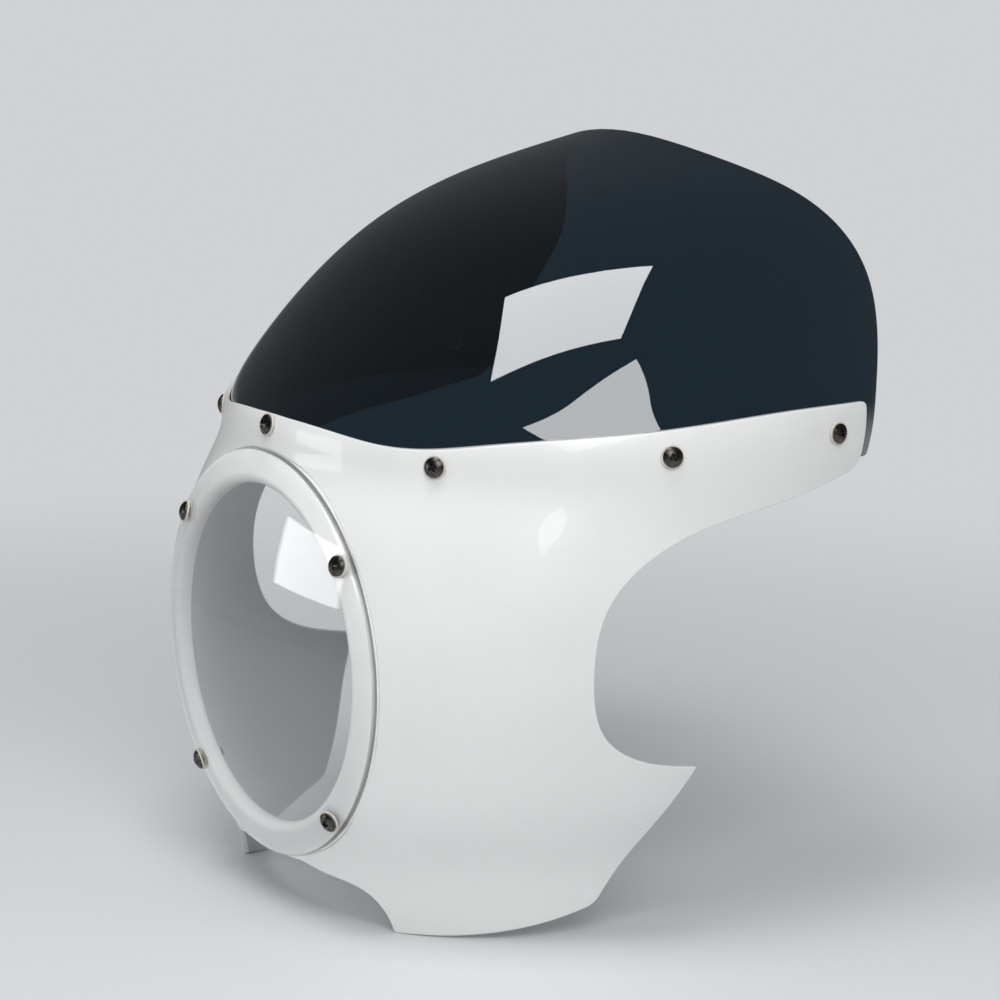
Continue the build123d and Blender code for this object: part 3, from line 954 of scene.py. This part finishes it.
def makeNut(top):
    net = bmesh.new()
    height, corner = fastener["nutHeight"], fastener["nutWidth"] / math.sqrt(3)
    bmesh.ops.create_cone(net, cap_ends=True, segments=6, depth=height,
                          radius1=corner, radius2=corner)
    caps = [e for e in net.edges if abs(e.verts[0].co.z - e.verts[1].co.z) < tiny]
    bmesh.ops.bevel(net, geom=caps, offset=fastener["nutSoft"], segments=2, affect="EDGES")
    nut = fromNet("hexNut", net, Matrix.Translation((0, 0, top - height / 2)))
    bore, (over, under) = fastener["screwRadius"] + fastener["boreGap"], fastener["boreOver"]
    high, low = top + over, top - (height + under)
    cutBy(nut, turned("threadBore", [(0, high), (bore, high), (bore, low), (0, low)]))
    sharpen(nut, fastener["nutSharp"])
    return nut


def seatTree():
    inputs = [("Fastener", "Object"), ("Size", "Float")]
    tree, start, end = newTree("setOnSeats", inputs, (-900, 0), (800, 0))
    named = "GeometryNodeInputNamedAttribute"
    facing = addNode(tree, named, (-900, -250), data_type="FLOAT_VECTOR")
    facing.inputs["Name"].default_value = "facing"
    twist = addNode(tree, named, (-900, -450), data_type="FLOAT")
    twist.inputs["Name"].default_value = "twist"
    align = addNode(tree, "FunctionNodeAlignRotationToVector", (-650, -250), axis="Z")
    spin = addNode(tree, "FunctionNodeAxisAngleToRotation", (-650, -450))
    spin.inputs["Axis"].default_value = (0, 0, 1)
    rotate = addNode(tree, "FunctionNodeRotateRotation", (-400, -300), rotation_space="LOCAL")
    source = addNode(tree, "GeometryNodeObjectInfo", (-650, 150))
    spread = addNode(tree, "GeometryNodeInstanceOnPoints", (-100, 0))
    real = addNode(tree, "GeometryNodeRealizeInstances", (200, 0))
    paint = addNode(tree, "GeometryNodeSetMaterial", (500, 0))
    link = tree.links.new
    link(start.outputs["Geometry"], spread.inputs["Points"])
    link(start.outputs["Fastener"], source.inputs["Object"])
    link(source.outputs["Geometry"], spread.inputs["Instance"])
    link(facing.outputs["Attribute"], align.inputs["Vector"])
    link(twist.outputs["Attribute"], spin.inputs["Angle"])
    link(align.outputs["Rotation"], rotate.inputs["Rotation"])
    link(spin.outputs["Rotation"], rotate.inputs["Rotate By"])
    link(rotate.outputs["Rotation"], spread.inputs["Rotation"])
    link(start.outputs["Size"], spread.inputs["Scale"])
    link(start.outputs["Finish"], paint.inputs["Material"])
    linkInTurn(tree, spread, real, paint, end)
    return tree


onSeats = seatTree()


def setOnSeats(name, part, seats, back, finish, slotName, node):
    # back moves the seat inwards along its normal
    holder = meshPiece(name + "Seats", np.array([p - n * back for p, n in seats]), [])
    facing = holder.data.attributes.new("facing", "FLOAT_VECTOR", "POINT")
    facing.data.foreach_set("vector", np.array([n for _, n in seats]).ravel())
    twist = holder.data.attributes.new("twist", "FLOAT", "POINT")
    twist.data.foreach_set("value", fastener["twists"][:len(seats)])
    piece = grown(name, holder, onSeats, {"Fastener": part, "Size": 1.0, "Finish": finish})
    bpy.data.objects.remove(part)
    placed(piece, slotName, finish, node)
    print(name, len(piece.data.polygons), "faces")


screenStack = shell["wall"] + screen["gap"] + screen["wall"]
lensStack = seatInset + shell["wall"]
backing = -(fastener["backingGap"] + fastener["washer"])
for label, node, seats, stack in (("screen", "windscreen", screenSeats(), screenStack),
                                  ("lens", "lens", lensSeats(), lensStack)):
    screw = makeScrew(stack)
    setOnSeats(label + "Screws", screw, seats, 0, blackNickel, "screw", node + "_screws")
    washer = makeWasher(fastener["washerRadius"], fastener["seatGap"])
    setOnSeats(label + "Washers", washer, seats, 0, palePolymer, "washer", node + "_washers")
    washer = makeWasher(fastener["backingRadius"], backing)
    setOnSeats(label + "BackingWashers", washer, seats, stack, zincPlate, "hardware",
               node + "_backing_washers")
    nut = makeNut(backing)
    setOnSeats(label + "Nuts", nut, seats, stack, zincPlate, "hardware", node + "_nuts")
    print("fasteners set:", label)


# floor, light and camera

studio = {
    "floor": (0.74, 0.75, 0.76, 1), "floorDull": 0.6,
    "floorSize": 6.0, "floorFull": 0.35, "floorGone": 1.25,  # fades into the backdrop
    "world": (0.95, 0.97, 1.0, 1), "worldFill": 0.5, "worldSeen": 0.66,
    "ceiling": 0.07, "ceilingFrom": -0.35, "ceilingFull": 0.0,  # what gloss mirrors from above
    "lamps": [  # name, place, aim, side edge, width, height, watts
        ("overhead", (0.18, -0.15, 1.23), (0.12, 0.11, 0.185),
         (0.64, 0.76, 0.10), 0.63, 0.51, 5.5),
        ("rightSide", (1.08, -0.365, 0.91), (0.158, 0.112, 0.141),
         (0.10, 0.88, 0.27), 0.75, 0.75, 7.5),
        ("frontLeft", (-0.90, -1.50, 0.20), (0.062, -0.009, 0.057),
         (0.86, -0.51, 0.0), 0.70, 0.36, 3.0),
    ],
    "sensor": 36.0, "lens": 121.9, "eye": (1.5096, -0.8423, 0.4367),
    "azimuth": 56.77, "elevation": 11.64,
}


def makeFloor():
    half, low = studio["floorSize"] / 2, cadBox[0][2]
    corners = [(-half, -half, low), (half, -half, low), (half, half, low), (-half, half, low)]
    floor = meshPiece("floor", np.array(corners) / mm, [(0, 1, 2, 3)])
    sockets = {"Base Color": studio["floor"], "Roughness": studio["floorDull"]}
    material, tree, shader = newFinish("paleFloor", sockets)
    where = addNode(tree, "ShaderNodeTexCoord", (-900, 0))
    reach = addNode(tree, "ShaderNodeVectorMath", (-700, 0), operation="LENGTH")
    fade = addNode(tree, "ShaderNodeMapRange", (-500, 0), interpolation_type="SMOOTHSTEP")
    setSockets(fade, {"From Min": studio["floorFull"], "From Max": studio["floorGone"],
                      "To Min": 1.0, "To Max": 0.0})
    tree.links.new(where.outputs["Object"], reach.inputs[0])
    tree.links.new(reach.outputs["Value"], fade.inputs["Value"])
    tree.links.new(fade.outputs["Result"], shader.inputs["Alpha"])
    floor.data.materials.append(material)


def makeWorld():
    world = bpy.data.worlds.new("studio")
    bpy.context.scene.world = world
    world.use_nodes = True
    tree = world.node_tree
    link = tree.links.new
    back = tree.nodes["Background"]
    back.inputs["Color"].default_value = studio["world"]
    path = addNode(tree, "ShaderNodeLightPath", (-800, 0))
    straight = addNode(tree, "ShaderNodeMath", (-500, 100), operation="MAXIMUM")
    link(path.outputs["Is Camera Ray"], straight.inputs[0])
    link(path.outputs["Is Transmission Ray"], straight.inputs[1])
    # gloss mirrors the pale backdrop low down and the dark ceiling above
    where = addNode(tree, "ShaderNodeTexCoord", (-1200, -300))
    split = addNode(tree, "ShaderNodeSeparateXYZ", (-1000, -300))
    rise = addNode(tree, "ShaderNodeMapRange", (-800, -300), interpolation_type="SMOOTHSTEP")
    setSockets(rise, {"From Min": studio["ceilingFrom"], "From Max": studio["ceilingFull"],
                      "To Min": studio["worldSeen"], "To Max": studio["ceiling"]})
    link(where.outputs["Generated"], split.inputs[0])
    link(split.outputs["Z"], rise.inputs["Value"])
    mirrored = addNode(tree, "ShaderNodeMapRange", (-500, -150))
    mirrored.inputs["To Min"].default_value = studio["worldFill"]
    link(rise.outputs["Result"], mirrored.inputs["To Max"])
    link(path.outputs["Is Glossy Ray"], mirrored.inputs["Value"])
    level = addNode(tree, "ShaderNodeMapRange", (-250, 0))
    level.inputs["To Max"].default_value = studio["worldSeen"]
    link(mirrored.outputs["Result"], level.inputs["To Min"])
    link(straight.outputs["Value"], level.inputs["Value"])
    link(level.outputs["Result"], back.inputs["Strength"])


def makeLamps():
    for name, place, aim, side, width, height, watts in studio["lamps"]:
        lamp = bpy.data.lights.new(name, "AREA")
        lamp.shape, lamp.size, lamp.size_y, lamp.energy = "RECTANGLE", width, height, watts
        back = (Vector(place) - Vector(aim)).normalized()
        upright = back.cross(Vector(side)).normalized()
        turn = Matrix((upright.cross(back), upright, back)).transposed()
        linked(name, lamp).matrix_world = Matrix.Translation(place) @ turn.to_4x4()


def makeCamera():
    camera = bpy.data.cameras.new("camera")
    camera.lens, camera.sensor_width = studio["lens"], studio["sensor"]
    camera.sensor_fit = "HORIZONTAL"
    holder = linked("camera", camera)
    a, e = math.radians(studio["azimuth"]), math.radians(studio["elevation"])
    back = Vector((math.cos(e) * math.sin(a), -math.cos(e) * math.cos(a), math.sin(e)))
    right = Vector((math.cos(a), math.sin(a), 0))
    turn = Matrix((right, back.cross(right), back)).transposed()
    holder.matrix_world = Matrix.Translation(studio["eye"]) @ turn.to_4x4()
    bpy.context.scene.camera = holder


makeFloor()
makeWorld()
makeLamps()
makeCamera()
bpy.context.scene.view_settings.view_transform = "Standard"

print("scene ready")
